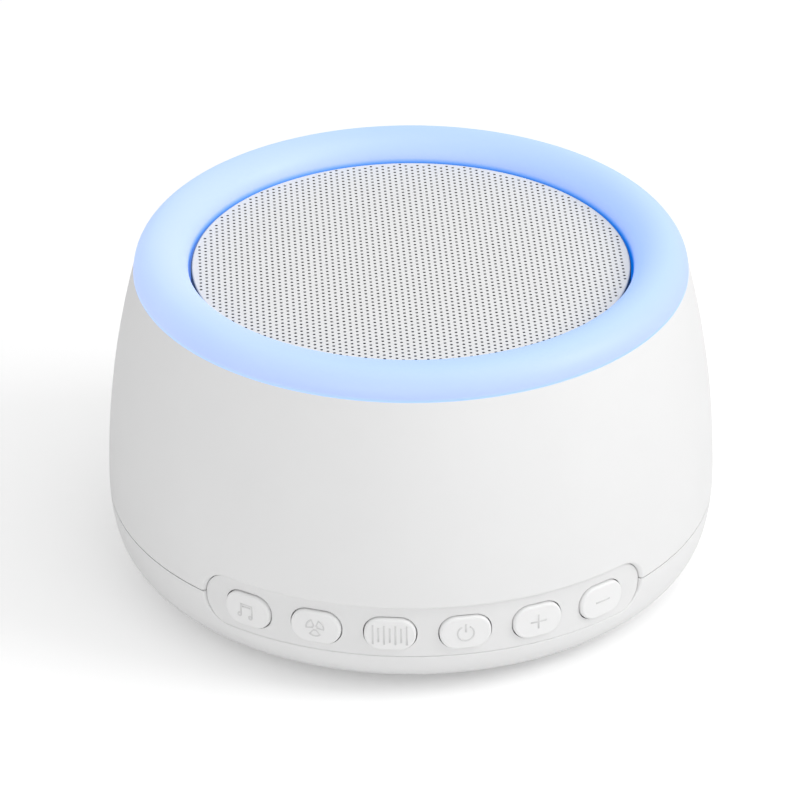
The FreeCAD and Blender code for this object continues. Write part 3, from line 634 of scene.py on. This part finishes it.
def music_lines():
    """Two notes on one beam."""
    head = arc_points(0, 0, 0.32, 0, 360, 12)
    left = [(x - 1.5, y - 1.1) for x, y in head]
    right = [(x + 0.85, y - 1.3) for x, y in head]
    return [[(-1.2, -1.1), (-1.2, 1.2), (1.2, 1.2), (1.2, -1.3)],
            [(-0.9, 0.75), (0.9, 0.75)], left, right]


def fan_lines():
    """Three open blades round the middle."""
    blades = []
    for middle in (30, 150, 270):
        outer = arc_points(0, 0, 1.7, middle - 36, middle + 36, 12)
        inner = arc_points(0, 0, 0.5, middle + 30, middle - 30, 4)
        blades.append(outer + inner + outer[:1])
    return blades


def noise_lines():
    """Seven bars, long and short in turn."""
    return [[(1.05 * n, -2.0 + 0.5 * ((n + 1) % 2)), (1.05 * n, 2.0 - 0.5 * ((n + 1) % 2))]
            for n in range(-3, 4)]


def power_lines():
    return [arc_points(0, 0, 1.55, 118, 422), [(0, 0.25), (0, 1.95)]]


def plus_lines():
    return [[(-1.6, 0), (1.6, 0)], [(0, -1.45), (0, 1.45)]]


def minus_lines():
    return [[(-1.6, 0), (1.6, 0)]]


def line_tubes(lines, line_r):
    """Round tubes along lines that are drawn flat, facing the front."""
    curve = bpy.data.curves.new("symbol_path", "CURVE")
    curve.dimensions = "3D"
    curve.bevel_depth = line_r
    curve.bevel_resolution = 2
    curve.use_fill_caps = True
    for line in lines:
        closed = line[0] == line[-1]
        points = line[:-1] if closed else line
        spline = curve.splines.new("POLY")
        spline.points.add(len(points) - 1)
        for point, (u, v) in zip(spline.points, points):
            point.co = (u * MM, 0, v * MM, 1)
        spline.use_cyclic_u = closed
    holder = bpy.data.objects.new("symbol_path", curve)
    mesh = bpy.data.meshes.new_from_object(holder)
    bm = bmesh.new()
    bm.from_mesh(mesh)
    bpy.data.objects.remove(holder)
    bpy.data.meshes.remove(mesh)
    return bm


def button_symbol(name, lines, material):
    """Raised round-backed lines wrapped on the cap's face."""
    node = nodes["button_" + name]
    joint = next(j for j in frame["record"]["behaviour"]["joints"] if j["name"] == name + "_press")
    middle = math.atan2(-joint["axis"][0], joint["axis"][1])
    low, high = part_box("button_" + name)
    face_r = max(math.hypot(v.co.x, v.co.y) for v in node.data.vertices)
    sunk = 0.1 * MM
    bm = line_tubes(lines, 0.22 * MM)
    for vert in bm.verts:
        turn = middle + vert.co.x / face_r
        reach = face_r - sunk - vert.co.y
        vert.co = (reach * math.sin(turn), -reach * math.cos(turn),
                   (low.z + high.z) / 2 + vert.co.z)
    bmesh.ops.remove_doubles(bm, verts=bm.verts, dist=0.001 * MM)
    bmesh.ops.recalc_face_normals(bm, faces=bm.faces)
    finish_piece("symbol_" + name, bm, material, "button_" + name)


def button_symbols(material):
    drawings = (music_lines, fan_lines, noise_lines, power_lines, plus_lines, minus_lines)
    for name, draw in zip(button_names, drawings):
        button_symbol(name, draw(), material)


def build_scene():
    materials = make_materials()
    dress_nodes(materials)
    arcs = turned_surfaces()
    smooth_copy("upper_housing", "upper_shell", "housing", materials, arcs)
    smooth_copy("lower_housing", "lower_shell", "housing", materials, arcs)
    smooth_copy("button_panel", "panel_face", "housing", materials)
    for name in button_names:
        smooth_copy("button_" + name, "cap_" + name, "button_" + name, materials)
    for n in range(1, 5):
        smooth_copy(f"rubber_foot_{n}", f"foot_pad_{n}", "housing", materials)
    smooth_copy("inlet_shell", "inlet_barrel", "housing", materials)
    case_screws(materials["screw_steel"])
    light_ring(materials["diffuser"])
    speaker_grille(materials["grille"])
    button_symbols(materials["symbol"])


# Stage

def add_area(name, place, size, power):
    """A soft round lamp aimed at the middle of the object."""
    lamp = bpy.data.lights.new(name, "AREA")
    lamp.shape = "DISK"
    lamp.size = size
    lamp.energy = power
    holder = bpy.data.objects.new(name, lamp)
    holder.location = place
    aim = Vector((0, 0, 0.03))
    holder.rotation_euler = (aim - Vector(place)).to_track_quat("-Z", "Y").to_euler()
    bpy.context.scene.collection.objects.link(holder)


def surroundings():
    """Even light all round, seen as pure white by the camera and in gloss."""
    world = bpy.data.worlds.new("studio")
    bpy.context.scene.world = world
    world.use_nodes = True
    tree = world.node_tree
    background = tree.nodes["Background"]
    background.inputs[0].default_value = (1, 1, 1, 1)
    path = tree.nodes.new("ShaderNodeLightPath")
    seen = tree.nodes.new("ShaderNodeMath")
    seen.operation = "MAXIMUM"
    tree.links.new(path.outputs["Is Camera Ray"], seen.inputs[0])
    tree.links.new(path.outputs["Is Glossy Ray"], seen.inputs[1])
    level = tree.nodes.new("ShaderNodeMapRange")
    level.inputs["To Min"].default_value = 0.58
    level.inputs["To Max"].default_value = 1.0
    tree.links.new(seen.outputs[0], level.inputs["Value"])
    tree.links.new(level.outputs[0], background.inputs[1])


def floor_plane():
    """A pale floor just under the feet; it keeps the shadow and is lifted for the camera only."""
    drop = 0.02 * MM
    bm = bmesh.new()
    bmesh.ops.create_grid(bm, x_segments=1, y_segments=1, size=3)
    bmesh.ops.translate(bm, verts=bm.verts, vec=(0, 0, -drop))
    mesh = bpy.data.meshes.new("floor")
    bm.to_mesh(mesh)
    bm.free()
    floor = bpy.data.objects.new("floor", mesh)
    bpy.context.scene.collection.objects.link(floor)
    m = Shader("floor_white")
    camera_ray = m.node("ShaderNodeLightPath")[0]
    m.set(Base_Color=(0.9, 0.9, 0.9), Roughness=0.9, Specular_IOR_Level=0.0,
          Emission_Color=m.mix(camera_ray, (0.0, 0.0, 0.0), (0.24, 0.24, 0.24)),
          Emission_Strength=1.0)
    floor.data.materials.append(m.material)


def stage():
    surroundings()
    floor_plane()
    add_area("key_right", (1.1, -0.3, 0.8), 0.7, 5.9)
    add_area("front_soft", (-0.5, -1.2, 0.45), 0.9, 3.0)
    add_area("top_soft", (0.45, -0.15, 1.2), 1.0, 3.0)


def camera():
    """The photograph's view: a long lens from a little left of the front, looking down."""
    tilt = math.radians(29.7)
    turn = math.radians(-3.1)
    distance = 1.0
    picture_px = 800
    focal_px = 5228
    axis_right_px = 11
    aim = Vector((0, 0, 0.0318))
    towards = Vector((math.sin(turn) * math.cos(tilt), -math.cos(turn) * math.cos(tilt),
                      math.sin(tilt)))
    data = bpy.data.cameras.new("photo_view")
    data.sensor_width = 36
    data.lens = focal_px / picture_px * data.sensor_width
    data.shift_x = -axis_right_px / picture_px
    data.clip_start = 0.05
    holder = bpy.data.objects.new("photo_view", data)
    holder.location = aim + towards * distance
    holder.rotation_euler = (-towards).to_track_quat("-Z", "Y").to_euler()
    bpy.context.scene.collection.objects.link(holder)
    bpy.context.scene.camera = holder


bpy.context.scene.view_settings.view_transform = "Standard"
camera()
build_scene()
stage()
